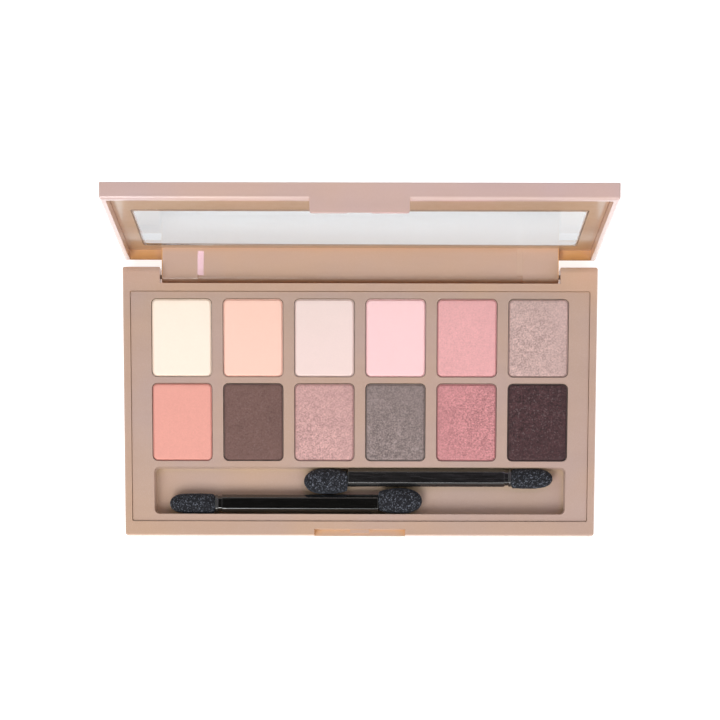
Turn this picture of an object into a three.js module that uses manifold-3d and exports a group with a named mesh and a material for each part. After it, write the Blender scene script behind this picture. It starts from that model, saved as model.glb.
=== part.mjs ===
// A twelve-pan eyeshadow palette: a moulded base, a pan tray, twelve pressed
// powders in metal pans, two double-ended sponge applicators, and a lid with a
// clear window that turns on two short pins.
//
// Units are millimetres and +Z is up.  The origin is the centre of the
// underside.  +Y points to the hinge.  The lid stands open, against its stop.
// Lid pieces are drawn closed, and the lid group then turns them open.

import * as THREE from 'three';
import { mergeVertices } from 'three/addons/utils/BufferGeometryUtils.js';
import Module from 'manifold-3d';

const wasm = await Module();
wasm.setup();

// ---------------------------------------------------------------- dimensions

// Casing
const WIDTH = 132;
const DEPTH = 73;
const BASE_HEIGHT = 8.6;
const LID_HEIGHT = 4.35;
const RIM_GAP = 0.15; // between the two rims when the palette is closed
const CORNER = 0.6;
const SEAM_CORNER = 0.35; // of the tray and of the opening that it sits in
const EDGE = 0.3; // chamfer on the base's outer edges
const LID_TOP_EDGE = 0.4; // radius of the lid's outer top edges
const LID_RIM_EDGE = 1; // radius of the lid's outer rim edges
const FLOOR = 1.2;
const OVERSHOOT = 1; // how far a cutter runs past the face that it opens

// Hinge
const OPEN_ANGLE = THREE.MathUtils.degToRad(93.3);
const AXIS_Y = DEPTH / 2 - 2.1;
const AXIS_Z = BASE_HEIGHT - 4.65;
const NOTCH_WIDTH = 111.4;
const NOTCH_WALL = AXIS_Y - 2.3;
const TONGUE_WIDTH = 110.6;
const STOP_BLOCK = 10; // width of each square-heeled block at the tongue's ends
const BLOCK_REACH = 2.1; // from the axis to the block's inner face
const BARREL = 1.75; // radius of the tongue's round middle
const RAMP = 1.7; // length of the slope from each block's face to the barrel's
const HEEL_REACH = 2.15; // from the axis to the heel's flat
const HEEL_RADIUS = 2.19;
const PIN_RADIUS = 0.6;
const PIN_BORE = 0.65;
const TURNING_BORE = 0.72;
const PIN_OUTER = WIDTH / 2 - 0.4;
const PIN_INNER = 50;
const EAR_RADIUS = BASE_HEIGHT - AXIS_Z + 0.05; // the lid's rear rim swings round this

// Pan tray
const TRAY_TOP = BASE_HEIGHT - 0.45;
const TRAY_PLATE = 1.2;
const TRAY = { x0: -63.9, x1: 63.9, y0: -32.55, y1: 29.9 };
const TRAY_GAP = 0.12; // between the tray's edge and the base
const CAVITY = { x0: -62.6, x1: 62.6, y0: -31.95, y1: 29.2 };
const TUB_WALL = 0.85;

// Pans and powders
const COLUMN_PITCH = 19.9;
const ROW_Y = [17.45, -5.45];
const POCKET = { width: 16.9, depth: 21.3, radius: 1.5 };
const POCKET_FLOOR = TRAY_TOP - 3.6;
const PAN = { width: 16.6, depth: 21, radius: 1.35, height: 3.1, wall: 0.2 };
const POWDER_GAP = 0.02;
const POWDER_RISE = 0.3; // above the rim of its pan
const POWDER_EDGE = 0.25;

// Applicator well
const WELL = { width: 115.6, depth: 12.95, radius: 1.4, y: -24.17 };
const WELL_FLOOR = TRAY_TOP - 4.6;
const WELL_DRAFT = 0.3; // how much smaller each side is at the floor

// Applicators
const STICK = { width: 5, height: 3.4, flat: 3, side: 1.4 };
const APPLICATOR_Z = WELL_FLOOR + 2.65;
const LARGE_SPONGE = { length: 12.3, halfWidth: 3.55, halfHeight: 2.6 };
const SMALL_SPONGE = { length: 11.6, halfWidth: 2.7, halfHeight: 2.1 };
const LONG_SPONGE = { ...SMALL_SPONGE, length: 12.7 };
const TANG = { length: 6, width: 2.4, height: 1.2, gap: 0.1 };
const STICK_LENGTH = 45.9;

// Latch
const TAB = { width: 25.4, drop: 3.1, thickness: 1.3, radius: 0.6 };
const RECESS = { width: 25.6, depth: 1.75, height: 3.9 };
const NUB = { width: 5.4, reach: 1.1, top: 0.4, height: 1 };
const NUB_GROOVE = { width: 6.2, depth: 0.75 };

// Lid
const RIM_Z = BASE_HEIGHT + RIM_GAP;
const LID_TOP = RIM_Z + LID_HEIGHT;
const LID_WALL = 1.6;
const CEILING = RIM_Z + 2.65;
const LINER = 0.7; // thickness of the bezel and of the window
const LID_FIT = 0.06; // gap around pieces glued into the lid
const PLATE_Z = CEILING + LINER + LID_FIT;
const WINDOW = { x0: -59.6, x1: 59.6, y0: -11, y1: 31.7 };
const BEZEL_OPENING = { x0: -60, x1: 60, y0: -13.4, y1: 28.8 };
const WINDOW_RADIUS = 1;

const ARC_STEPS = 3; // segments in a quarter of a small corner
const WELD = 1e-4;

// ------------------------------------------------------------------ materials

const material = (color, roughness, metalness = 0, extra = {}) =>
  new THREE.MeshStandardMaterial({ color, roughness, metalness, ...extra });

const casing = material(0xcfae99, 0.38);
const trayPlastic = material(0xc6a797, 0.5);
const aluminium = material(0xc9c9cc, 0.35, 1);
const steel = material(0x77787c, 0.3, 1);
const blackPlastic = material(0x101012, 0.2);
const foam = material(0x24262c, 0.95);
const clearPlastic = material(0xe6e8ea, 0.08, 0, { transparent: true, opacity: 0.35 });

// Back row first, left to right.
const SHADES = [
  ['ivory', 0xfeeedc, 0.9], ['peach', 0xfcd2bf, 0.9], ['shell', 0xe6d3cc, 0.9],
  ['blush', 0xf9cfd3, 0.9], ['rose', 0xe3a3a5, 0.6], ['taupe', 0xbfa29d, 0.5],
  ['coral', 0xed9f92, 0.9], ['brown', 0x7c625c, 0.9], ['dusty_pink', 0xc79f9c, 0.5],
  ['grey', 0x8e8583, 0.5], ['berry', 0xc5838a, 0.5], ['plum', 0x55444a, 0.5],
];

// -------------------------------------------------------------------- helpers

function roundedRect(width, depth, radius) {
  const x = width / 2 - radius;
  const y = depth / 2 - radius;
  const shape = new THREE.Shape();
  shape.absarc(x, y, radius, 0, Math.PI / 2);
  shape.absarc(-x, y, radius, Math.PI / 2, Math.PI);
  shape.absarc(-x, -y, radius, Math.PI, 1.5 * Math.PI);
  shape.absarc(x, -y, radius, 1.5 * Math.PI, 2 * Math.PI);
  return shape;
}

// An upright prism, with its edges chamfered when bevel is above zero.
function prism(shape, bottom, top, bevel = 0) {
  const geometry = new THREE.ExtrudeGeometry(shape, {
    depth: top - bottom - 2 * bevel,
    bevelEnabled: bevel > 0,
    bevelThickness: bevel,
    bevelSize: bevel,
    bevelOffset: -bevel,
    bevelSegments: 1,
    curveSegments: ARC_STEPS,
  });
  return geometry.translate(0, 0, bottom + bevel);
}

// An upright prism over a rectangle given by its sides.
function slab(area, radius, bottom, top, bevel = 0) {
  const shape = roundedRect(area.x1 - area.x0, area.y1 - area.y0, radius);
  const geometry = prism(shape, bottom, top, bevel);
  return geometry.translate((area.x0 + area.x1) / 2, (area.y0 + area.y1) / 2, 0);
}

function box(x0, x1, y0, y1, z0, z1) {
  const geometry = new THREE.BoxGeometry(x1 - x0, y1 - y0, z1 - z0);
  return geometry.translate((x0 + x1) / 2, (y0 + y1) / 2, (z0 + z1) / 2);
}

// A prism along X over a section drawn in the Y-Z plane.
function alongX(section, x0, x1, arcSteps = 4 * ARC_STEPS) {
  const geometry = new THREE.ExtrudeGeometry(section, {
    depth: x1 - x0,
    bevelEnabled: false,
    curveSegments: arcSteps,
  });
  const turn = new THREE.Matrix4().makeBasis(
    new THREE.Vector3(0, 1, 0),
    new THREE.Vector3(0, 0, 1),
    new THREE.Vector3(1, 0, 0),
  );
  return geometry.applyMatrix4(turn).translate(x0, 0, 0);
}

function rodAlongX(radius, x0, x1) {
  const geometry = new THREE.CylinderGeometry(radius, radius, x1 - x0, 8 * ARC_STEPS);
  return geometry.rotateZ(Math.PI / 2).translate((x0 + x1) / 2, AXIS_Y, AXIS_Z);
}

function solid(geometry) {
  const bare = geometry.clone();
  bare.deleteAttribute('normal');
  bare.deleteAttribute('uv');
  const welded = mergeVertices(bare, WELD);
  return new wasm.Manifold(new wasm.Mesh({
    numProp: 3,
    vertProperties: new Float32Array(welded.attributes.position.array),
    triVerts: new Uint32Array(welded.index.array),
  }));
}

const join = (first, ...rest) => rest.reduce((sum, g) => sum.add(solid(g)), first);
const cut = (first, ...rest) => rest.reduce((sum, g) => sum.subtract(solid(g)), first);

function piece(name, manifold, finish) {
  const { vertProperties, triVerts } = manifold.getMesh();
  const geometry = new THREE.BufferGeometry();
  geometry.setAttribute('position', new THREE.BufferAttribute(vertProperties, 3));
  geometry.setIndex(new THREE.BufferAttribute(triVerts, 1));
  geometry.computeVertexNormals();
  const mesh = new THREE.Mesh(geometry, finish);
  mesh.name = name;
  return mesh;
}

const grown = (area, by) => ({
  x0: area.x0 - by, x1: area.x1 + by, y0: area.y0 - by, y1: area.y1 + by,
});

const panPlaces = ROW_Y.flatMap((y) =>
  [0, 1, 2, 3, 4, 5].map((column) => ({ x: (column - 2.5) * COLUMN_PITCH, y })));

// ----------------------------------------------------------------------- base

function baseShell() {
  const half = DEPTH / 2;
  const ledge = TRAY_TOP - TRAY_PLATE;
  const above = BASE_HEIGHT + OVERSHOOT;
  const recessWall = -half + RECESS.depth;
  let body = solid(prism(roundedRect(WIDTH, DEPTH, CORNER), 0, BASE_HEIGHT, EDGE));
  body = cut(
    body,
    slab(grown(TRAY, TRAY_GAP), SEAM_CORNER + TRAY_GAP, ledge, above),
    slab(CAVITY, CORNER, FLOOR, above),
    box(-NOTCH_WIDTH / 2, NOTCH_WIDTH / 2, NOTCH_WALL, half + OVERSHOOT, -OVERSHOOT, above),
    box(-RECESS.width / 2, RECESS.width / 2, -half - OVERSHOOT, recessWall,
      BASE_HEIGHT - RECESS.height, above),
    rodAlongX(PIN_BORE, NOTCH_WIDTH / 2 - OVERSHOOT, WIDTH / 2 + OVERSHOOT),
    rodAlongX(PIN_BORE, -WIDTH / 2 - OVERSHOOT, -NOTCH_WIDTH / 2 + OVERSHOOT),
    earRelief(above),
  );
  const nubTop = BASE_HEIGHT - NUB.top;
  const nub = box(-NUB.width / 2, NUB.width / 2, recessWall - NUB.reach, recessWall + 0.5,
    nubTop - NUB.height, nubTop);
  return join(body, nub, ...supportRibs());
}

// Rounds the top rear edge of both ears, to clear the lid's rear rim as it swings.
function earRelief(top) {
  const rear = DEPTH / 2 + OVERSHOOT;
  const section = new THREE.Shape();
  section.moveTo(AXIS_Y, AXIS_Z + EAR_RADIUS);
  section.absarc(AXIS_Y, AXIS_Z, EAR_RADIUS, Math.PI / 2,
    Math.acos((rear - AXIS_Y) / EAR_RADIUS), true);
  section.lineTo(rear, top);
  section.lineTo(AXIS_Y, top);
  return alongX(section, -WIDTH / 2 - OVERSHOOT, WIDTH / 2 + OVERSHOOT);
}

// Low ribs on the floor carry the tray under each row of pans and the well.
function supportRibs() {
  const reach = 56;
  const half = 0.6;
  const gap = 0.1;
  const panTub = POCKET_FLOOR - TUB_WALL - gap;
  const wellTub = WELL_FLOOR - TUB_WALL - gap;
  const rows = [[ROW_Y[0], panTub], [ROW_Y[1], panTub], [WELL.y, wellTub]];
  return rows.map(([y, top]) => box(-reach, reach, y - half, y + half, FLOOR / 2, top));
}

// ----------------------------------------------------------------------- tray

// The well's cutter: its sides lean in towards the floor.
function wellCutter() {
  const height = TRAY_TOP - WELL_FLOOR;
  const shape = roundedRect(WELL.width, WELL.depth, WELL.radius);
  const geometry = prism(shape, 0, height);
  const at = geometry.attributes.position;
  for (let i = 0; i < at.count; i += 1) {
    const inset = WELL_DRAFT * (1 - at.getZ(i) / height);
    at.setX(i, at.getX(i) * (1 - (2 * inset) / WELL.width));
    at.setY(i, at.getY(i) * (1 - (2 * inset) / WELL.depth));
  }
  return geometry.translate(0, WELL.y, WELL_FLOOR);
}

function panTray() {
  const plate = TRAY_TOP - TRAY_PLATE;
  const joinZ = TRAY_TOP - TRAY_PLATE / 2;
  let tray = solid(slab(TRAY, SEAM_CORNER, plate, TRAY_TOP));
  const tub = roundedRect(POCKET.width + 2 * TUB_WALL, POCKET.depth + 2 * TUB_WALL, POCKET.radius);
  const pocket = roundedRect(POCKET.width, POCKET.depth, POCKET.radius);
  const wellTub = roundedRect(WELL.width + 2 * TUB_WALL, WELL.depth + 2 * TUB_WALL, WELL.radius);
  tray = join(
    tray,
    ...panPlaces.map(({ x, y }) => prism(tub, POCKET_FLOOR - TUB_WALL, joinZ).translate(x, y, 0)),
    prism(wellTub, WELL_FLOOR - TUB_WALL, joinZ).translate(0, WELL.y, 0),
  );
  const wellMouth = roundedRect(WELL.width, WELL.depth, WELL.radius);
  return cut(
    tray,
    ...panPlaces.map(({ x, y }) =>
      prism(pocket, POCKET_FLOOR, TRAY_TOP + OVERSHOOT).translate(x, y, 0)),
    wellCutter(),
    prism(wellMouth, TRAY_TOP - WELD, TRAY_TOP + OVERSHOOT).translate(0, WELL.y, 0),
  );
}

// ----------------------------------------------------------- pans and powders

function metalPan() {
  const inner = roundedRect(PAN.width - 2 * PAN.wall, PAN.depth - 2 * PAN.wall,
    PAN.radius - PAN.wall);
  const outer = solid(prism(roundedRect(PAN.width, PAN.depth, PAN.radius), 0, PAN.height));
  return cut(outer, prism(inner, PAN.wall, PAN.height + OVERSHOOT));
}

function powderCake() {
  const inset = 2 * (PAN.wall + POWDER_GAP);
  const shape = roundedRect(PAN.width - inset, PAN.depth - inset, PAN.radius - PAN.wall);
  return solid(prism(shape, PAN.wall, PAN.height + POWDER_RISE, POWDER_EDGE));
}

// ----------------------------------------------------------------- applicators

// A sponge lies along +X from its flat base at x = 0 to its round tip.
function sponge(size, neck, bulge) {
  const curve = new THREE.SplineCurve([
    new THREE.Vector2(neck, 0),
    new THREE.Vector2(1, bulge * size.length),
    new THREE.Vector2(0.8, 0.85 * size.length),
    new THREE.Vector2(0.5, 0.96 * size.length),
    new THREE.Vector2(0, size.length),
  ]);
  const profile = [new THREE.Vector2(0, 0), ...curve.getPoints(4 * ARC_STEPS - 2)];
  profile.at(-1).set(0, size.length);
  const body = new THREE.LatheGeometry(profile, 16);
  body.rotateZ(-Math.PI / 2).scale(1, size.halfWidth, size.halfHeight);
  return body;
}

// The stick lies along X, centred, with a flat tang at each end.
function stickSolid() {
  const y = STICK.width / 2;
  const z = STICK.height / 2;
  const flat = STICK.flat / 2;
  const side = STICK.side / 2;
  const section = new THREE.Shape([
    [y, -side], [y, side], [flat, z], [-flat, z], [-y, side], [-y, -side], [-flat, -z], [flat, -z],
  ].map(([a, b]) => new THREE.Vector2(a, b)));
  const half = STICK_LENGTH / 2;
  const reach = half + TANG.length;
  return join(solid(alongX(section, -half, half)), tang(-reach, reach, 0));
}

function tang(x0, x1, gap) {
  const y = TANG.width / 2 + gap;
  const z = TANG.height / 2 + gap;
  return box(x0, x1, -y, y, -z, z);
}

// facing is +1 when the large sponge points to +X.  Each lean is how far a
// sponge sits off the stick's centre line.
function applicator(name, { x, y, facing, small, largeLean, smallLean }) {
  const group = new THREE.Group();
  group.position.set(x, y, APPLICATOR_Z);
  const half = STICK_LENGTH / 2;
  const seat = half + TANG.gap;
  const socket = tang(-half - TANG.length - TANG.gap, half + TANG.length + TANG.gap, TANG.gap);
  const ends = [
    ['large_sponge', LARGE_SPONGE, 0.76, 0.45, facing, largeLean],
    ['small_sponge', small, 0.97, 0.35, -facing, smallLean],
  ];
  group.add(piece(`${name}_stick`, stickSolid(), blackPlastic));
  for (const [part, size, neck, bulge, side, offset] of ends) {
    const body = sponge(size, neck, bulge);
    if (side < 0) {
      body.rotateZ(Math.PI);
    }
    body.translate(side * seat, offset, 0);
    group.add(piece(`${name}_${part}`, cut(solid(body), socket), foam));
  }
  return group;
}

// ------------------------------------------------------------------------ lid

// The heeled block: its flat underside meets the notch wall when the lid is open.
function blockSection(top) {
  const rear = DEPTH / 2 - AXIS_Y;
  const heel = OPEN_ANGLE + Math.PI; // direction of the heel's flat, lid closed
  const meets = Math.acos(HEEL_REACH / HEEL_RADIUS);
  const start = Math.PI + Math.acos(BLOCK_REACH / HEEL_RADIUS);
  const heelRear = (HEEL_REACH - rear * Math.cos(heel)) / Math.sin(heel);
  const section = new THREE.Shape();
  section.moveTo(AXIS_Y + rear, top);
  section.lineTo(AXIS_Y - BLOCK_REACH, top);
  section.absarc(AXIS_Y, AXIS_Z, HEEL_RADIUS, start, heel - meets);
  section.lineTo(AXIS_Y + rear, AXIS_Z + heelRear);
  return section;
}

// The tongue's middle: a round barrel on the same axis.
function barrelSection(top) {
  const rear = DEPTH / 2;
  const soften = 0.9;
  const section = new THREE.Shape();
  section.moveTo(rear, top);
  section.lineTo(AXIS_Y - BARREL, top);
  section.absarc(AXIS_Y, AXIS_Z, BARREL, Math.PI, 1.5 * Math.PI);
  section.lineTo(rear - soften, AXIS_Z - BARREL);
  section.lineTo(rear, AXIS_Z - BARREL + soften);
  return section;
}

// A wedge in plan that eases the step between a block's face and the barrel's.
// side is +1 at the tongue's +X end.
function ramp(side, blockStart, top) {
  const shape = new THREE.Shape();
  shape.moveTo(side * (blockStart + OVERSHOOT), AXIS_Y - BLOCK_REACH);
  shape.lineTo(side * blockStart, AXIS_Y - BLOCK_REACH);
  shape.lineTo(side * (blockStart - RAMP), AXIS_Y - BARREL);
  shape.lineTo(side * (blockStart - RAMP), AXIS_Y);
  shape.lineTo(side * (blockStart + OVERSHOOT), AXIS_Y);
  return prism(shape, AXIS_Z, top);
}

function latchTab() {
  const half = TAB.width / 2;
  const bottom = RIM_Z - TAB.drop;
  const top = RIM_Z + LID_WALL;
  const { radius } = TAB;
  const face = new THREE.Shape();
  face.moveTo(half, top);
  face.lineTo(-half, top);
  face.absarc(-half + radius, bottom + radius, radius, Math.PI, 1.5 * Math.PI);
  face.absarc(half - radius, bottom + radius, radius, 1.5 * Math.PI, 2 * Math.PI);
  const geometry = new THREE.ExtrudeGeometry(face, {
    depth: TAB.thickness,
    bevelEnabled: false,
    curveSegments: ARC_STEPS,
  });
  return geometry.rotateX(Math.PI / 2).translate(0, -DEPTH / 2 + TAB.thickness, 0);
}

// The lid's outer form over one of its two spans, with its long edges rounded.
// The section runs wide of the walls, which the plan outline trims.
function lidSection(span) {
  const x = span / 2;
  const wide = x + OVERSHOOT;
  const low = RIM_Z + LID_RIM_EDGE;
  const high = LID_TOP - LID_TOP_EDGE;
  const section = new THREE.Shape();
  section.moveTo(wide, high);
  section.absarc(x - LID_TOP_EDGE, high, LID_TOP_EDGE, 0, Math.PI / 2);
  section.absarc(LID_TOP_EDGE - x, high, LID_TOP_EDGE, Math.PI / 2, Math.PI);
  section.lineTo(-wide, high);
  section.lineTo(-wide, low);
  section.absarc(LID_RIM_EDGE - x, low, LID_RIM_EDGE, Math.PI, 1.5 * Math.PI);
  section.absarc(x - LID_RIM_EDGE, low, LID_RIM_EDGE, 1.5 * Math.PI, 2 * Math.PI);
  section.lineTo(wide, low);
  return section;
}

function lidBlock() {
  const outline = roundedRect(WIDTH, DEPTH, CORNER);
  const plan = solid(prism(outline, RIM_Z - OVERSHOOT, LID_TOP + OVERSHOOT));
  const lengthwise = alongX(lidSection(DEPTH), -WIDTH, WIDTH, ARC_STEPS);
  const crosswise = alongX(lidSection(WIDTH), -WIDTH, WIDTH, ARC_STEPS).rotateZ(Math.PI / 2);
  return plan.intersect(solid(lengthwise)).intersect(solid(crosswise));
}

function lidShell() {
  const half = DEPTH / 2;
  const inside = {
    x0: -WIDTH / 2 + LID_WALL, x1: WIDTH / 2 - LID_WALL, y0: -half + LID_WALL, y1: half - LID_WALL,
  };
  const grooveFloor = -half + TAB.thickness - NUB_GROOVE.depth;
  const blockEnd = TONGUE_WIDTH / 2;
  const blockStart = blockEnd - STOP_BLOCK;
  const top = PLATE_Z + 0.4;
  const open = { below: RIM_Z - OVERSHOOT, above: LID_TOP + OVERSHOOT };
  let shell = cut(
    lidBlock(),
    slab(inside, CORNER, open.below, PLATE_Z),
    slab(WINDOW, WINDOW_RADIUS, PLATE_Z - OVERSHOOT, open.above),
  );
  shell = join(
    shell,
    alongX(barrelSection(top), -blockStart, blockStart),
    alongX(blockSection(top), blockStart, blockEnd),
    alongX(blockSection(top), -blockEnd, -blockStart),
    ramp(1, blockStart, top),
    ramp(-1, blockStart, top),
    latchTab(),
  );
  return cut(
    shell,
    box(-NUB_GROOVE.width / 2, NUB_GROOVE.width / 2, grooveFloor, -half + LID_WALL - LID_FIT,
      RIM_Z - TAB.drop - OVERSHOOT, RIM_Z),
    rodAlongX(TURNING_BORE, PIN_INNER - 0.2, blockEnd + OVERSHOOT),
    rodAlongX(TURNING_BORE, -blockEnd - OVERSHOOT, -PIN_INNER + 0.2),
  );
}

function lidBezel() {
  const inset = LID_WALL + LID_FIT;
  const area = {
    x0: -WIDTH / 2 + inset, x1: WIDTH / 2 - inset, y0: -DEPTH / 2 + inset, y1: DEPTH / 2 - inset,
  };
  const tongue = TONGUE_WIDTH / 2 + LID_FIT;
  const frame = solid(slab(area, CORNER, CEILING, CEILING + LINER));
  return cut(
    frame,
    slab(BEZEL_OPENING, WINDOW_RADIUS, CEILING - OVERSHOOT, CEILING + LINER + OVERSHOOT),
    box(-tongue, tongue, AXIS_Y - BLOCK_REACH - LID_FIT, DEPTH,
      CEILING - OVERSHOOT, CEILING + LINER + OVERSHOOT),
  );
}

const lidWindow = () =>
  solid(slab(grown(BEZEL_OPENING, -LID_FIT), WINDOW_RADIUS, CEILING, CEILING + LINER));

// ------------------------------------------------------------------- assembly

const palette = new THREE.Group();

palette.add(piece('base_shell', baseShell(), casing));
palette.add(piece('pan_tray', panTray(), trayPlastic));

SHADES.forEach(([shade, color, roughness], index) => {
  const { x, y } = panPlaces[index];
  const number = String(index + 1).padStart(2, '0');
  const pan = piece(`pan_${number}`, metalPan(), aluminium);
  const cake = piece(`powder_${number}_${shade}`, powderCake(), material(color, roughness));
  pan.position.set(x, y, POCKET_FLOOR);
  cake.position.set(x, y, POCKET_FLOOR);
  palette.add(pan, cake);
});

palette.add(applicator('applicator_rear', {
  x: 19.65, y: -20.45, facing: -1, small: SMALL_SPONGE, largeLean: -1.03, smallLean: -0.2,
}));
palette.add(applicator('applicator_front', {
  x: -17.77, y: -27.65, facing: 1, small: LONG_SPONGE, largeLean: 0.8, smallLean: 0,
}));

palette.add(piece('hinge_pin_right', solid(rodAlongX(PIN_RADIUS, PIN_INNER, PIN_OUTER)), steel));
palette.add(piece('hinge_pin_left', solid(rodAlongX(PIN_RADIUS, -PIN_OUTER, -PIN_INNER)), steel));

const hinge = new THREE.Group();
hinge.position.set(0, AXIS_Y, AXIS_Z);
hinge.rotation.x = -OPEN_ANGLE;
const closedLid = new THREE.Group();
closedLid.position.set(0, -AXIS_Y, -AXIS_Z);
closedLid.add(piece('lid_shell', lidShell(), casing));
closedLid.add(piece('lid_bezel', lidBezel(), casing));
closedLid.add(piece('lid_window', lidWindow(), clearPlastic));
hinge.add(closedLid);
palette.add(hinge);

export default palette;
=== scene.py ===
"""Looks for a twelve-pan eyeshadow palette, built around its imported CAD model.

Everything is in metres, in the CAD model's own frame: +X right, +Y to the hinge, +Z up.
CAD nodes whose shape is right keep it and get rounded edges and a finish.  Powders, sponge
tips and applicator sticks are modelled here in finer detail and stand for their CAD nodes.
"""

import math

import bpy
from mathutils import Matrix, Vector, noise

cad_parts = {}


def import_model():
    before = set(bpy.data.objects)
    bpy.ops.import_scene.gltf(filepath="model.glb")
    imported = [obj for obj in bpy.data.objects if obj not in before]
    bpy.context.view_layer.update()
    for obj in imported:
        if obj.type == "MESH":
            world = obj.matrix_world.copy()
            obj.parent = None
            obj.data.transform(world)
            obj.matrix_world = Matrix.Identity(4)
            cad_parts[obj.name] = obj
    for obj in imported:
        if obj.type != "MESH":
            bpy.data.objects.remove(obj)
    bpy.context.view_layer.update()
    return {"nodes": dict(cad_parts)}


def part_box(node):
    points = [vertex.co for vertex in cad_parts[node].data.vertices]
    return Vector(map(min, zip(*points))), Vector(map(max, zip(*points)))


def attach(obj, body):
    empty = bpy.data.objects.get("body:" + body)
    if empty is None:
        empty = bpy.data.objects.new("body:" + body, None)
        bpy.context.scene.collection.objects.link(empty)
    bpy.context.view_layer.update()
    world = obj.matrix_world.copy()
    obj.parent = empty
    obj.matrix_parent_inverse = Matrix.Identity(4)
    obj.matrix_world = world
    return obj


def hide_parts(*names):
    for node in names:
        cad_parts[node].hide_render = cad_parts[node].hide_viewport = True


MM = 0.001
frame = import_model()


# ---------------------------------------------------------------- material nodes


def srgb(red, green, blue):
    """A colour in 8-bit sRGB as a linear RGBA tuple."""

    def linear(value):
        share = value / 255
        return share / 12.92 if share <= 0.04045 else ((share + 0.055) / 1.055) ** 2.4

    return (linear(red), linear(green), linear(blue), 1.0)


def scaled(color, factors, lift=0.0):
    """A colour with each of its channels multiplied by a factor and raised by lift."""
    return tuple(c * k + lift for c, k in zip(color[:3], factors)) + (1.0,)


class Nodes:
    """A small helper that adds and links shader nodes in one material."""

    def __init__(self, name):
        self.material = bpy.data.materials.new(name)
        self.material.use_nodes = True
        self.tree = self.material.node_tree
        self.tree.nodes.clear()
        self.output = self.tree.nodes.new("ShaderNodeOutputMaterial")

    def add(self, kind, inputs=None, **settings):
        node = self.tree.nodes.new("ShaderNode" + kind)
        for name, value in settings.items():
            setattr(node, name, value)
        for name, value in (inputs or {}).items():
            self.put(node.inputs[name], value)
        return node

    def put(self, socket, value):
        if isinstance(value, bpy.types.NodeSocket):
            self.tree.links.new(value, socket)
        else:
            socket.default_value = value

    def place(self):
        """The point being shaded, in metres in the object's own frame."""
        return self.add("TexCoord").outputs["Object"]

    def noise(self, place, size, detail=2.0, roughness=0.5):
        """Noise whose features are about size metres across."""
        node = self.add("TexNoise", {"Vector": place, "Scale": 1 / size, "Detail": detail,
                                     "Roughness": roughness})
        return node.outputs["Fac"]

    def cells(self, place, size, output="Color"):
        """Rounded cells about size metres across, each with a colour of its own."""
        return self.add("TexVoronoi", {"Vector": place, "Scale": 1 / size}).outputs[output]

    def level(self, color):
        """One channel of a colour, as an even spread of values from 0 to 1."""
        return self.add("SeparateColor", {"Color": color}).outputs[0]

    def parts(self, vector):
        """The X, Y and Z of a vector."""
        return self.add("SeparateXYZ", {"Vector": vector}).outputs

    def remap(self, value, low, high, to_low=0.0, to_high=1.0, smooth=False):
        """Turns low into to_low and high into to_high, and holds those values outside."""
        node = self.add("MapRange", {"Value": value, "From Min": low, "From Max": high,
                                     "To Min": to_low, "To Max": to_high})
        node.interpolation_type = "SMOOTHSTEP" if smooth else "LINEAR"
        return node.outputs["Result"]

    def maths(self, operation, *values):
        node = self.add("Math", operation=operation)
        for socket, value in zip(node.inputs, values):
            self.put(socket, value)
        return node.outputs[0]

    def mix(self, share, first, second, blend="MIX"):
        node = self.add("Mix", data_type="RGBA", blend_type=blend)
        self.put(node.inputs["Factor"], share)
        self.put(node.inputs[6], first)
        self.put(node.inputs[7], second)
        return node.outputs[2]

    def bump(self, height, depth, strength=1.0, normal=None):
        node = self.add("Bump", {"Height": height, "Distance": depth, "Strength": strength})
        if normal is not None:
            self.put(node.inputs["Normal"], normal)
        return node.outputs["Normal"]

    def surface(self, **inputs):
        shader = self.add("BsdfPrincipled")
        for name, value in inputs.items():
            self.put(shader.inputs[name.replace("_", " ")], value)
        self.tree.links.new(shader.outputs[0], self.output.inputs["Surface"])
        return self.material


# --------------------------------------------------------------------- finishes

TONGUE_SIDE = 55 * MM  # just outside the ends of the lid's hinge tongue
BASE_PLASTIC = srgb(192, 166, 146)
LID_PLASTIC = srgb(204, 181, 171)
BEZEL_PLASTIC = srgb(163, 137, 104)
TRAY_PLASTIC = srgb(187, 162, 147)
# colours painted into tight places by ambient occlusion: painted bounce light and shade
BASE_PAINTED_CREVICE = (0.72, 0.4, 0.15, 1.0)
LID_PAINTED_CREVICE = (0.78, 0.51, 0.32, 1.0)
TRAY_PAINTED_CREVICE = (0.56, 0.42, 0.26, 1.0)
# painted light shining through the lid's rear wall
PAINTED_THROUGH_LIGHT = (0.84, 0.47, 0.17, 1.0)


def graded(n, tone, axis, full, end, color):
    """Tints a tone with color at full on an axis, and less and less up to end."""
    place = n.parts(n.place())[axis]
    if full < end:
        share = n.remap(place, full, end, 1.0, 0.0, smooth=True)
    else:
        share = n.remap(place, end, full, 0.0, 1.0, smooth=True)
    return n.mix(share, tone, color, "MULTIPLY")


def base_painted_light(n, tone):
    """The base is painted a little paler towards the hinge: painted light."""
    return graded(n, tone, "Y", 36 * MM, 24 * MM, (1.14, 1.08, 1.04, 1.0))


def tray_painted_light(n, tone):
    """The floor of the well is painted a little paler than the tray's top: painted light that lifts
    its shade.
    """
    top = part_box("pan_tray")[1].z
    return graded(n, tone, "Z", top - 4 * MM, top - 1 * MM, (1.09, 1.11, 1.09, 1.0))


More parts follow.
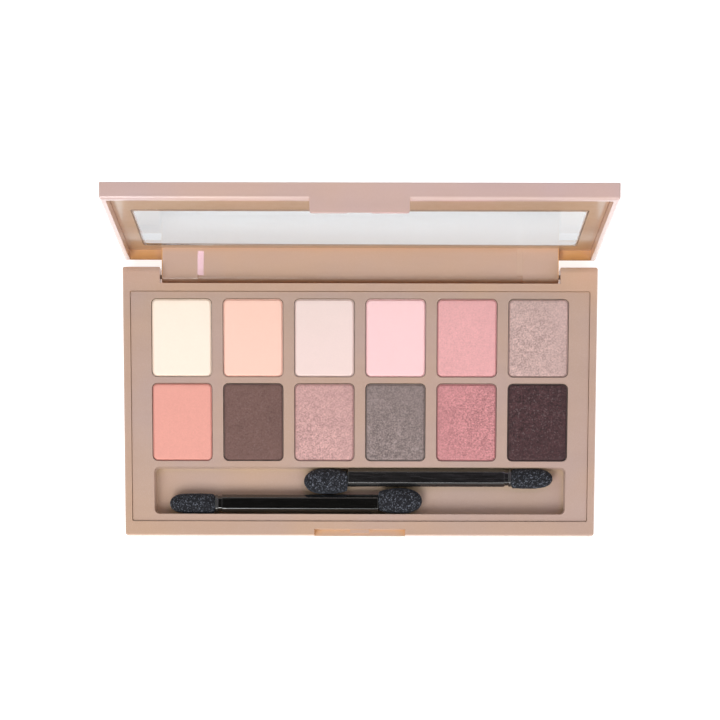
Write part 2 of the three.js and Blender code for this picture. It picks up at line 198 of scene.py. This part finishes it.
def lid_painted_light(n, tone):
    """Painted light on the lid: painted warmer towards the hinge, and a painted shade a little darker
    on its rim.  Inside, its rear wall is painted orange on both sides of the hinge tongue: painted
    light shining through it there."""
    # painted light: warmer towards the hinge
    tone = graded(n, tone, "Z", 10 * MM, 45 * MM, (1.03, 0.975, 0.8, 1.0))
    # painted shade on faces turned to the front, such as the rim
    facing = n.parts(n.add("TexCoord").outputs["Normal"])
    rim = n.remap(facing["Y"], -0.9, -0.5, 1.0, 0.0)
    tone = n.mix(rim, tone, (0.87, 0.86, 0.87, 1.0), "MULTIPLY")
    # painted light shining through the rear wall beside the hinge tongue
    place = n.parts(n.place())
    aside = n.remap(n.maths("ABSOLUTE", place["X"]), TONGUE_SIDE, TONGUE_SIDE + 0.2 * MM)
    low = n.remap(place["Z"], 7 * MM, 10 * MM, 1.0, 0.0, smooth=True)
    inside = n.remap(facing["Z"], 0.4, 0.8)
    share = n.maths("MULTIPLY", n.maths("MULTIPLY", aside, low), inside)
    return n.mix(share, tone, PAINTED_THROUGH_LIGHT)


def pearl_plastic(name, color, roughness, coat, grain, painted_crevice, painted_light=None):
    """Moulded plastic with a pearl pigment: soft flow streaks, fine flakes, light orange peel.
    Tight places found by ambient occlusion are painted a deeper colour: painted bounce light
    and shade, standing in for light that picks up the pigment's deep tone there.  grain is the
    depth of the moulded texture.  The last argument adds a piece's painted light and shade."""
    n = Nodes(name)
    place = n.place()
    streaks = n.add("Mapping", {"Vector": place, "Scale": (0.12, 1, 1)}).outputs[0]
    flow = n.remap(n.noise(streaks, 5 * MM, 4), 0.3, 0.7)
    cloud = n.remap(n.noise(place, 22 * MM, 2), 0.3, 0.7)
    warm = scaled(color, (1.05, 1.0, 0.93))
    pink = scaled(color, (0.99, 0.985, 1.04))
    tone = n.mix(cloud, warm, pink)
    tone = n.mix(flow, n.mix(1.0, tone, (0.95, 0.95, 0.95, 1), "MULTIPLY"), tone)
    flakes = n.remap(n.level(n.cells(place, 0.09 * MM)), 0.8, 1.0, 0.0, 0.1)
    tone = n.mix(flakes, tone, (1.0, 0.93, 0.9, 1.0))
    # each piece's painted light and shade, when given
    if painted_light:
        tone = painted_light(n, tone)
    # painted bounce light and shade in tight places, found by ambient occlusion
    open_air = n.add("AmbientOcclusion", {"Distance": 3 * MM}, samples=8).outputs["AO"]
    tone = n.mix(n.remap(open_air, 0.15, 0.78, 0.9, 0.0), tone, painted_crevice)
    rough = n.remap(n.noise(place, 3 * MM, 3), 0.3, 0.7, roughness - 0.03, roughness + 0.04)
    normal = n.bump(n.noise(place, 0.12 * MM, 2), grain, 0.5)
    normal = n.bump(n.noise(place, 1.4 * MM, 1), 0.006 * MM, 0.5, normal)
    return n.surface(
        Base_Color=tone, Roughness=rough, Normal=normal, IOR=1.46,
        Coat_Weight=coat, Coat_Roughness=0.12, Coat_Tint=(1.0, 0.95, 0.97, 1.0),
        Sheen_Weight=0.05, Sheen_Tint=(1.0, 0.8, 0.82, 1.0),
    )


def metal(name, color, roughness, stretch):
    """Drawn or pressed metal with fine lines along stretch."""
    n = Nodes(name)
    lines = n.add("Mapping", {"Vector": n.place(), "Scale": stretch}).outputs[0]
    scratches = n.noise(lines, 0.08 * MM, 3)
    rough = n.remap(scratches, 0.3, 0.7, roughness - 0.06, roughness + 0.08)
    return n.surface(Base_Color=color, Metallic=1.0, Roughness=rough,
                     Normal=n.bump(scratches, 0.004 * MM, 0.5))


def black_plastic(name, polish):
    """Black plastic with faint handling marks.  polish is its lowest roughness."""
    n = Nodes(name)
    place = n.place()
    marks = n.add("Mapping", {"Vector": place, "Scale": (0.1, 1, 1)}).outputs[0]
    wear = n.noise(marks, 0.5 * MM, 4)
    rough = n.remap(wear, 0.35, 0.7, polish, polish + 0.1)
    tone = n.mix(n.noise(place, 2 * MM, 3), (0.0015, 0.0015, 0.0013, 1), (0.004, 0.0035, 0.003, 1))
    return n.surface(Base_Color=tone, Roughness=rough, IOR=1.85,
                     Normal=n.bump(n.noise(place, 2.5 * MM, 1), 0.008 * MM, 0.4),
                     Coat_Weight=1.0, Coat_Roughness=0.04)


def foam():
    """Open-cell charcoal foam with painted highlights: pale blue-grey specks on the cell edges, none
    in the dark pores.
    """
    n = Nodes("foam")
    place = n.place()
    pores = n.remap(n.cells(place, 0.42 * MM, "Distance"), 0.15, 0.75, smooth=True)
    specks = n.remap(n.level(n.cells(place, 0.3 * MM)), 0.62, 1.0)
    # painted highlights on the foam's cell edges
    painted_edge_light = n.maths("MULTIPLY", specks, pores)
    tone = n.mix(n.noise(place, 0.8 * MM, 3), (0.004, 0.004, 0.006, 1), (0.012, 0.013, 0.017, 1))
    tone = n.mix(painted_edge_light, tone, (0.15, 0.165, 0.2, 1))
    return n.surface(Base_Color=tone, Roughness=0.85, Sheen_Weight=0.1, Sheen_Roughness=0.5,
                     Sheen_Tint=(0.6, 0.7, 0.85, 1.0), Specular_IOR_Level=0.3,
                     Normal=n.bump(pores, 0.12 * MM, 0.9))


def clear_window():
    """Clear polished plastic: bends what lies behind it, mirrors at a low angle, and lets lamps
    through."""
    n = Nodes("clear_window")
    tint = (0.918, 0.934, 0.943, 1)
    bend = n.add("BsdfRefraction", {"Color": tint, "Roughness": 0.0, "IOR": 1.49})
    gloss = n.add("BsdfGlossy", {"Color": (0.6, 0.68, 0.73, 1), "Roughness": 0.03})
    through = n.add("BsdfTransparent", {"Color": (0.9, 0.9, 0.9, 1)})
    mirrored = n.maths("MULTIPLY", n.add("Fresnel", {"IOR": 1.49}).outputs[0], 0.65)
    seen = n.add("MixShader", {0: mirrored})
    n.tree.links.new(bend.outputs[0], seen.inputs[1])
    n.tree.links.new(gloss.outputs[0], seen.inputs[2])
    shadow = n.add("LightPath").outputs["Is Shadow Ray"]
    whole = n.add("MixShader", {0: shadow})
    n.tree.links.new(seen.outputs[0], whole.inputs[1])
    n.tree.links.new(through.outputs[0], whole.inputs[2])
    n.tree.links.new(whole.outputs[0], n.output.inputs["Surface"])
    return n.material


def dusty_pan(number, powder):
    """Pressed aluminium whose rim is dusted with its own powder."""
    n = Nodes(f"dusty_pan_{number:02d}")
    place = n.place()
    low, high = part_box(f"pan_{number:02d}")
    height = n.parts(place)["Z"]
    patchy = n.remap(n.noise(place, 0.8 * MM, 3), 0.3, 0.7, -0.15 * MM, 0.15 * MM)
    level = n.maths("ADD", height, patchy)
    dust = n.remap(level, high.z - 0.9 * MM, high.z - 0.4 * MM, 0.0, 0.92, smooth=True)
    tone = n.mix(dust, (0.82, 0.8, 0.79, 1), scaled(powder, (0.88, 0.88, 0.88)))
    rough = n.remap(dust, 0.0, 1.0, 0.34, 0.9)
    return n.surface(Base_Color=tone, Metallic=n.maths("SUBTRACT", 1.0, dust), Roughness=rough,
                     Normal=n.bump(n.noise(place, 0.3 * MM, 3), 0.01 * MM, 0.5))


def pressed_powder(name, color, shimmer, coarse_side, centre, half_size):
    """Pressed powder.  shimmer is 0 for a matte shade.  coarse_side points to where the grain is
    coarsest, as shares of the half size from the centre."""
    n = Nodes(name)
    place = n.place()
    grains = n.noise(place, 0.5 * MM, 2, 0.6)
    clumps = n.noise(place, 1.5 * MM, 3, 0.6)
    cloud = n.noise(place, 6 * MM, 2)
    focus = [centre[i] + coarse_side[i] * half_size[i] for i in range(2)] + [centre[2]]
    away = n.add("VectorMath", {0: place, 1: focus}, operation="DISTANCE").outputs["Value"]
    coarse = n.remap(away, 0.3 * half_size[1], 1.8 * half_size[1], 1.0, 0.5, smooth=True)
    contrast = 0.012 + 0.42 * shimmer + 0.3 * shimmer**3
    pattern = n.maths("ADD", n.maths("MULTIPLY", grains, 0.7), n.maths("MULTIPLY", clumps, 0.3))
    shade = n.remap(pattern, 0.34, 0.66, -1.0, 1.0)
    shade = n.maths("MULTIPLY", shade, n.maths("MULTIPLY", coarse, contrast))
    unevenness = 0.005 + 0.09 * shimmer
    shade = n.maths("ADD", shade, n.remap(cloud, 0.3, 0.7, -unevenness, unevenness))
    tone = n.add("VectorMath", {0: color[:3], 3: n.maths("ADD", shade, 1.0)}, operation="SCALE")
    tone = tone.outputs[0]
    if shimmer:
        # painted glints on the brightest chips and painted shade on the darkest ones
        chips = n.level(n.cells(place, 0.34 * MM))
        glint = n.maths("MULTIPLY", n.remap(chips, 0.8, 1.0, 0.0, 0.58 * shimmer), coarse)
        tone = n.mix(glint, tone, scaled(color, (1.3, 1.3, 1.3), 0.09))
        painted_pit_shade = n.maths("MULTIPLY", n.remap(chips, 0.0, 0.25, 0.68 * shimmer, 0.0), coarse)
        tone = n.mix(painted_pit_shade, tone, scaled(color, (0.45, 0.45, 0.45)))
    relief = n.bump(pattern, (0.012 + 0.09 * shimmer) * MM, 0.7)
    relief = n.bump(n.noise(place, 2.5 * MM, 2), 0.012 * MM, 0.5, relief)
    return n.surface(
        Base_Color=tone, Roughness=0.95 - 0.4 * shimmer, Normal=relief,
        Metallic=0.2 * shimmer, Specular_IOR_Level=0.15 + 0.2 * shimmer,
        Sheen_Weight=0.05, Sheen_Roughness=0.6,
    )


FINE_GRAIN = 0.004 * MM
TRAY_GRAIN = 0.01 * MM
finishes = {
    "base": pearl_plastic("base_plastic", BASE_PLASTIC, 0.34, 0.5, FINE_GRAIN, BASE_PAINTED_CREVICE,
                          base_painted_light),
    "lid": pearl_plastic("lid_plastic", LID_PLASTIC, 0.31, 0.9, FINE_GRAIN, LID_PAINTED_CREVICE,
                         lid_painted_light),
    "bezel": pearl_plastic("bezel_plastic", BEZEL_PLASTIC, 0.34, 0.6, FINE_GRAIN, LID_PAINTED_CREVICE),
    "tray": pearl_plastic("tray_plastic", TRAY_PLASTIC, 0.46, 0.12, TRAY_GRAIN, TRAY_PAINTED_CREVICE,
                          tray_painted_light),
    "steel": metal("drawn_steel", (0.42, 0.41, 0.4, 1), 0.28, (0.05, 1, 1)),
    "applicator_rear": black_plastic("satin_black_plastic", 0.2),
    "applicator_front": black_plastic("polished_black_plastic", 0.08),
    "collar": metal("collar_ring", (0.16, 0.16, 0.16, 1), 0.3, (1, 1, 1)),
    "foam": foam(),
    "window": clear_window(),
}


# ----------------------------------------------------------- CAD pieces kept as they are


LARGE_FACE_WEIGHT = 80
TINY = 0.005 * MM


def dress(node, finish, edge=None, segments=3):
    """Gives a CAD node a finish and, when edge is set, rounds its sharp edges to that radius."""
    obj = frame["nodes"][node]
    obj.data.materials.clear()
    obj.data.materials.append(finish)
    normals = obj.data.attributes.get("custom_normal")
    if normals is not None:
        obj.data.attributes.remove(normals)
    obj.data.polygons.foreach_set("use_smooth", [True] * len(obj.data.polygons))
    weld = obj.modifiers.new("weld", "WELD")
    weld.merge_threshold = 0.0005 * MM
    if edge:
        flat = obj.modifiers.new("flat", "DECIMATE")
        flat.decimate_type = "DISSOLVE"
        flat.angle_limit = math.radians(1)
        bevel = obj.modifiers.new("round", "BEVEL")
        bevel.width = edge
        bevel.segments = segments
        bevel.limit_method = "ANGLE"
        bevel.angle_limit = math.radians(34)
    even = obj.modifiers.new("even", "WEIGHTED_NORMAL")
    even.keep_sharp = True
    even.weight = LARGE_FACE_WEIGHT


def keep_crisp(node, edges_at):
    """Keeps shading crisp round the faces between these distances from the middle."""
    mesh = frame["nodes"][node].data
    sharp = mesh.attributes.get("sharp_edge") or mesh.attributes.new("sharp_edge", "BOOLEAN", "EDGE")
    for edge in mesh.edges:
        ends = [abs(mesh.vertices[v].co.x) for v in edge.vertices]
        if all(min(abs(end - x) for x in edges_at) < TINY for end in ends):
            sharp.data[edge.index].value = True


TONGUE_RAMP = (45.3 * MM, 43.6 * MM)  # where the ramps at the ends of the tongue start and end
keep_crisp("lid_shell", TONGUE_RAMP)
dress("base_shell", finishes["base"], 0.14 * MM)
dress("pan_tray", finishes["tray"], 0.2 * MM)
dress("lid_shell", finishes["lid"], 0.14 * MM)
dress("lid_bezel", finishes["bezel"], 0.04 * MM)
dress("lid_window", finishes["window"])
for side in ("left", "right"):
    dress(f"hinge_pin_{side}", finishes["steel"], 0.08 * MM)


# ---------------------------------------------------------------- building meshes


def make_object(name, points, faces, finish):
    """A smooth-shaded mesh object with one finish."""
    mesh = bpy.data.meshes.new(name)
    mesh.from_pydata([tuple(p) for p in points], [], faces)
    mesh.polygons.foreach_set("use_smooth", [True] * len(mesh.polygons))
    mesh.materials.append(finish)
    mesh.update()
    obj = bpy.data.objects.new(name, mesh)
    bpy.context.scene.collection.objects.link(obj)
    return obj


def skin(rings):
    """Points and faces of a closed tube through rings of equal length."""
    count = len(rings[0])
    points = [p for ring in rings for p in ring]
    faces = []
    for level in range(len(rings) - 1):
        low, high = level * count, (level + 1) * count
        for i in range(count):
            j = (i + 1) % count
            faces.append((low + i, low + j, high + j, high + i))
    last = (len(rings) - 1) * count
    faces.append(tuple(reversed(range(count))))
    faces.append(tuple(range(last, last + count)))
    return points, faces


def rounded_rectangle(half_x, half_y, radius, per_corner, per_side):
    """Points round a rounded rectangle about the origin, anticlockwise from the right side."""
    radius = min(radius, half_x, half_y)
    corners = [(half_x - radius, half_y - radius, 0), (radius - half_x, half_y - radius, 90),
               (radius - half_x, radius - half_y, 180), (half_x - radius, radius - half_y, 270)]
    arcs = []
    for x, y, start in corners:
        turns = [math.radians(start + 90 * i / per_corner) for i in range(per_corner + 1)]
        arcs.append([(x + radius * math.cos(t), y + radius * math.sin(t)) for t in turns])
    points = []
    for arc, following in zip(arcs, arcs[1:] + arcs[:1]):
        points += arc
        (x0, y0), (x1, y1) = arc[-1], following[0]
        for i in range(1, per_side):
            share = i / per_side
            points.append((x0 + (x1 - x0) * share, y0 + (y1 - y0) * share))
    return points


# ----------------------------------------------------------------------- powders

# name, colour, shimmer, side where the grain is coarsest
POWDERS = [
    ("powder_01_ivory", srgb(255, 238, 221), 0.0, (0, 0)),
    ("powder_02_peach", srgb(253, 209, 192), 0.0, (0, 0)),
    ("powder_03_shell", srgb(240, 218, 212), 0.0, (0, 0)),
    ("powder_04_blush", srgb(252, 210, 211), 0.0, (0, 0)),
    ("powder_05_rose", srgb(230, 173, 173), 0.18, (-0.5, -0.2)),
    ("powder_06_taupe", srgb(198, 170, 164), 0.6, (-0.8, -0.3)),
    ("powder_07_coral", srgb(231, 165, 152), 0.06, (0.2, -0.3)),
    ("powder_08_brown", srgb(118, 91, 85), 0.36, (0, 0)),
    ("powder_09_dusty_pink", srgb(200, 160, 156), 0.62, (-0.7, -0.7)),
    ("powder_10_grey", srgb(141, 127, 124), 0.8, (-0.5, -0.8)),
    ("powder_11_berry", srgb(199, 138, 140), 0.68, (0.9, 0.0)),
    ("powder_12_plum", srgb(71, 46, 48), 1.0, (-0.5, 0.4)),
]
EDGE_STEPS = 5
TOP_RINGS = 12


def powder_cake(name, color, shimmer, coarse_side, seed):
    """A pressed cake: straight sides, softly crumbled top edges and a slightly uneven top."""
    low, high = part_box(name)
    centre = (low + high) / 2
    half = (high - low) / 2
    half_size = (half.x, half.y)
    finish = pressed_powder(name, color, shimmer, coarse_side, centre, half_size)
    corner = 1.15 * MM
    edge = 0.38 * MM
    outline = [(0.0, low.z), (0.0, high.z - edge)]
    for i in range(1, EDGE_STEPS + 1):
        turn = math.pi / 2 * i / EDGE_STEPS
        outline.append((edge * (1 - math.cos(turn)), high.z - edge * (1 - math.sin(turn))))
    reach = half.x - edge - 0.05 * MM
    outline += [(edge + reach * i / TOP_RINGS, high.z) for i in range(1, TOP_RINGS + 1)]
    rings = []
    for inset, z in outline:
        flat = rounded_rectangle(half.x - inset, half.y - inset, max(corner - inset, 0.03 * MM), 6, 14)
        rings.append([Vector((centre.x + x, centre.y + y, z)) for x, y in flat])
    shift = Vector((seed * 7.3, seed * 3.1, seed * 1.7))
    upright = 2  # rings on the straight side
    for level, ring in enumerate(rings[upright:]):
        near_edge = 1 - min(1.0, level / EDGE_STEPS)
        for p in ring:
            sample = p / (1.1 * MM) + shift
            crumble = max(0.0, noise.noise(sample)) * 0.12 * MM
            fine = noise.noise(p / (0.35 * MM) + shift) * 0.02 * MM
            inward = Vector((centre.x - p.x, centre.y - p.y, 0)).normalized()
            p += inward * crumble * near_edge
            p.z += fine - crumble * 0.3 * near_edge - 0.012 * MM
    points, faces = skin(rings)
    cake = make_object(name + "_cake", points, faces, finish)
    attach(cake, "base")
    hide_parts(name)


for number, (name, color, shimmer, coarse_side) in enumerate(POWDERS, 1):
    powder_cake(name, color, shimmer, coarse_side, number)
    dress(f"pan_{number:02d}", dusty_pan(number, color), 0.06 * MM, 2)


# ------------------------------------------------------------------ applicator sticks

STICK_WALL = 0.18 * MM


def stick_section(half_y, half_z, flat, side, soften):
    """The stick's eight-sided section, each corner rounded with three points."""
    corners = [(half_y, -side), (half_y, side), (flat, half_z), (-flat, half_z),
               (-half_y, side), (-half_y, -side), (-flat, -half_z), (flat, -half_z)]
    points = []
    count = len(corners)
    for i, (y, z) in enumerate(corners):
        here = Vector((y, z))
        before = (Vector(corners[i - 1]) - here).normalized() * soften
        after = (Vector(corners[(i + 1) % count]) - here).normalized() * soften
        a, b = here + before, here + after
        middle = (a + b) * 0.25 + here * 0.5
        points += [a, middle, b]
    return points


def applicator_stick(name, body, small_end):
    """small_end is +1 when the small sponge is at the stick's +X end."""
    low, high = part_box(name)
    centre = (low + high) / 2
    sponge_low, sponge_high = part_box(name.replace("stick", "small_sponge"))
    large_low, large_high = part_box(name.replace("stick", "large_sponge"))
    half_y = (high.y - low.y) / 2
    half_z = (high.z - low.z) / 2
    if small_end > 0:
        small_seat, large_seat = sponge_low.x, large_high.x
    else:
        small_seat, large_seat = sponge_high.x, large_low.x
    length = abs(small_seat - large_seat)
    along = 1 if small_end > 0 else -1
    # distance from the large sponge, share of the full section
    stations = [(-3.0 * MM, 0.5), (-0.02 * MM, 0.5), (0.0, 0.9), (0.1 * MM, 0.96), (0.25 * MM, 1.0)]
    # distance from the small sponge, share of the full section: a neck, then a ring
    collar = [(3.2, 1.0), (2.1, 1.0), (2.0, 0.96), (1.92, 0.88), (1.0, 0.86), (0.9, 0.86),
              (0.84, 0.93), (0.76, 0.97), (0.2, 0.97), (0.12, 0.93), (0.04, 0.84), (0.0, 0.5),
              (-3.0, 0.5)]
    stations += [(length - back * MM, share) for back, share in collar]
    rings = []
    for distance, share in stations:
        x = large_seat + along * distance
        section = stick_section(half_y * share, half_z * share, half_y * 0.6 * share,
                                half_z * 0.41 * share, STICK_WALL * share)
        rings.append([Vector((x, centre.y + p.x, centre.z + p.y)) for p in section])
    if along < 0:
        rings.reverse()
    points, faces = skin(rings)
    stick = make_object(name + "_moulding", points, faces, finishes[body])
    stick.data.materials.append(finishes["collar"])
    ring_ends = [small_seat - along * back * MM for back in (0.95, 0.08)]
    for face in stick.data.polygons:
        if min(ring_ends) < face.center.x < max(ring_ends):
            face.material_index = 1
    bevel = stick.modifiers.new("edges", "BEVEL")
    bevel.width = 0.02 * MM
    bevel.segments = 1
    bevel.limit_method = "ANGLE"
    bevel.angle_limit = math.radians(50)
    even = stick.modifiers.new("even", "WEIGHTED_NORMAL")
    even.weight = LARGE_FACE_WEIGHT
    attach(stick, body)
    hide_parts(name)


# ------------------------------------------------------------------------ sponge tips

SPONGE_AROUND = 150
SPONGE_ALONG = 150


def sponge_profile(share, neck, bulge, bluntness):
    """Radius, as a share of the widest, at a share of the length from the base to the tip."""
    if share < bulge:
        return neck + (1 - neck) * math.sin(math.pi / 2 * share / bulge)
    out = (share - bulge) / (1 - bulge)
    return math.sqrt(max(0.0, 1 - out**bluntness))


def foam_relief(point, shift):
    """How far the foam's surface stands out at a point: open cells over soft lumps."""
    lumps = noise.noise(point / (1.6 * MM) + shift) * 0.06 * MM
    distances, _ = noise.voronoi(point / (0.38 * MM) + shift)
    cell = min(1.0, distances[1] - distances[0])
    walls = (0.5 - cell) * 0.12 * MM
    fine = noise.noise(point / (0.16 * MM) + shift) * 0.035 * MM
    return lumps + walls + fine - 0.03 * MM


def sponge_tip(name, body, tip_side, neck, bulge, bluntness, seed):
    """An oval foam tip.  tip_side is +1 when its round end points to +X."""
    low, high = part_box(name)
    centre = (low + high) / 2
    half = (high - low) / 2
    length = high.x - low.x
    base_x = low.x if tip_side > 0 else high.x
    round_over = 0.05
    shift = Vector((seed * 5.1, seed * 2.3, seed * 9.7))
    rings = []
    for level in range(SPONGE_ALONG + 1):
        turn = math.pi * level / SPONGE_ALONG
        share = (1 - math.cos(turn)) / 2
        radius = sponge_profile(share, neck, bulge, bluntness)
        if share < round_over:
            rise = share / round_over
            radius *= 0.62 + 0.38 * math.sqrt(max(0.0, 1 - (1 - rise) ** 2))
        if level == SPONGE_ALONG:
            radius = 0.002
        ring = []
        for i in range(SPONGE_AROUND):
            angle = 2 * math.pi * i / SPONGE_AROUND
            y = radius * half.y * math.cos(angle)
            z = radius * half.z * math.sin(angle)
            p = Vector((base_x + tip_side * length * share, centre.y + y, centre.z + z))
            out = Vector((0.0, math.cos(angle) / half.y, math.sin(angle) / half.z)).normalized()
            lean = tip_side * (share - bulge) * 0.9
            out = (out + Vector((lean, 0, 0))).normalized()
            p += out * foam_relief(p, shift) * min(1.0, radius * 6)
            ring.append(p)
        rings.append(ring)
    if tip_side < 0:
        rings.reverse()
    points, faces = skin(rings)
    tip = make_object(name + "_foam", points, faces, finishes["foam"])
    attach(tip, body)
    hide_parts(name)


LARGE = {"neck": 0.74, "bulge": 0.45, "bluntness": 2.7}
SMALL = {"neck": 0.95, "bulge": 0.35, "bluntness": 3.6}
SMALL_BLUNT = {"neck": 0.95, "bulge": 0.35, "bluntness": 4.6}

for body, facing, small in (("applicator_rear", -1, SMALL), ("applicator_front", 1, SMALL_BLUNT)):
    applicator_stick(f"{body}_stick", body, -facing)
    sponge_tip(f"{body}_large_sponge", body, facing, seed=facing + 3, **LARGE)
    sponge_tip(f"{body}_small_sponge", body, -facing, seed=facing + 6, **small)


# ------------------------------------------------------------------ floor, light, camera


SKY = 0.57  # brightness of the surroundings
FOCAL_LENGTH = 132.6
LENS_SHIFT = 1.0236
STANDPOINT = (0.00196, -0.075, 0.772)
TILT = (-9.0707, 0.1329, 0.1202)  # degrees
SAME_HEIGHT = 0.0005


def floor():
    """A white floor that glows a little, so that it stays white in the object's soft shadow."""
    mesh = bpy.data.meshes.new("floor")
    reach = 6.0
    corners = [(-reach, -reach, 0), (reach, -reach, 0), (reach, reach, 0), (-reach, reach, 0)]
    mesh.from_pydata(corners, [], [(0, 1, 2, 3)])
    n = Nodes("floor_white")
    mesh.materials.append(n.surface(
        Base_Color=(0.6, 0.6, 0.6, 1), Roughness=0.9, Specular_IOR_Level=0.1,
        Emission_Color=(1.0, 1.0, 1.0, 1), Emission_Strength=0.75,
    ))
    obj = bpy.data.objects.new("floor", mesh)
    obj.location.z = -0.05 * MM
    bpy.context.scene.collection.objects.link(obj)


def world():
    """Even pale surroundings with a dark patch straight above, as under a camera's hood."""
    surroundings = bpy.data.worlds.new("studio")
    surroundings.use_nodes = True
    tree = surroundings.node_tree
    ray = tree.nodes.new("ShaderNodeTexCoord").outputs["Generated"]
    height = tree.nodes.new("ShaderNodeSeparateXYZ")
    tree.links.new(ray, height.inputs[0])
    fade = tree.nodes.new("ShaderNodeMapRange")
    fade.interpolation_type = "SMOOTHSTEP"
    fade.inputs["From Min"].default_value = math.cos(math.radians(30))
    fade.inputs["From Max"].default_value = math.cos(math.radians(13))
    fade.inputs["To Min"].default_value = SKY
    fade.inputs["To Max"].default_value = 0.04 * SKY
    tree.links.new(height.outputs["Z"], fade.inputs["Value"])
    background = tree.nodes["Background"]
    background.inputs["Color"].default_value = (1.0, 0.99, 0.98, 1)
    tree.links.new(fade.outputs["Result"], background.inputs["Strength"])
    bpy.context.scene.world = surroundings


def softbox(name, place, aim, width, height, power, color=(1, 1, 1)):
    """A soft rectangular lamp that faces aim."""
    light = bpy.data.lights.new(name, "AREA")
    light.shape = "RECTANGLE"
    light.size = width
    light.size_y = height
    light.energy = power
    light.color = color
    obj = bpy.data.objects.new(name, light)
    obj.location = place
    direction = Vector(aim) - Vector(place)
    obj.rotation_euler = direction.to_track_quat("-Z", "Y").to_euler()
    bpy.context.scene.collection.objects.link(obj)


def camera():
    """A shift-lens camera nearly over the palette's front edge.  The lens shift belongs to this
    standpoint only, so a driver takes it off when the camera stands at any other height."""
    data = bpy.data.cameras.new("camera")
    data.sensor_width = 36
    data.lens = FOCAL_LENGTH
    data.clip_start = 0.01
    data.clip_end = 100
    obj = bpy.data.objects.new("camera", data)
    obj.location = STANDPOINT
    obj.rotation_euler = [math.radians(angle) for angle in TILT]
    bpy.context.scene.collection.objects.link(obj)
    driver = data.driver_add("shift_y").driver
    height = driver.variables.new()
    height.name = "height"
    height.targets[0].id = obj
    height.targets[0].data_path = "location[2]"
    driver.expression = f"{LENS_SHIFT} if abs(height - {STANDPOINT[2]:.4f}) < {SAME_HEIGHT} else 0"
    bpy.context.scene.camera = obj


floor()
world()
softbox("key", (-0.3, -0.5, 0.75), (0, 0, 0), 0.5, 0.5, 5.4)
softbox("fill", (0.42, -0.62, 0.6), (0, 0, 0), 0.8, 0.8, 2.8)
softbox("sparkle", (0.22, 0.242, 0.733), (-0.0445, 0.038, 0.006), 0.09, 0.09, 0.27, (0.95, 0.62, 1.0))
camera()

scene = bpy.context.scene
scene.view_settings.view_transform = "Standard"
scene.view_settings.look = "None"
scene.cycles.max_bounces = 10
scene.cycles.diffuse_bounces = 5
scene.cycles.transmission_bounces = 8
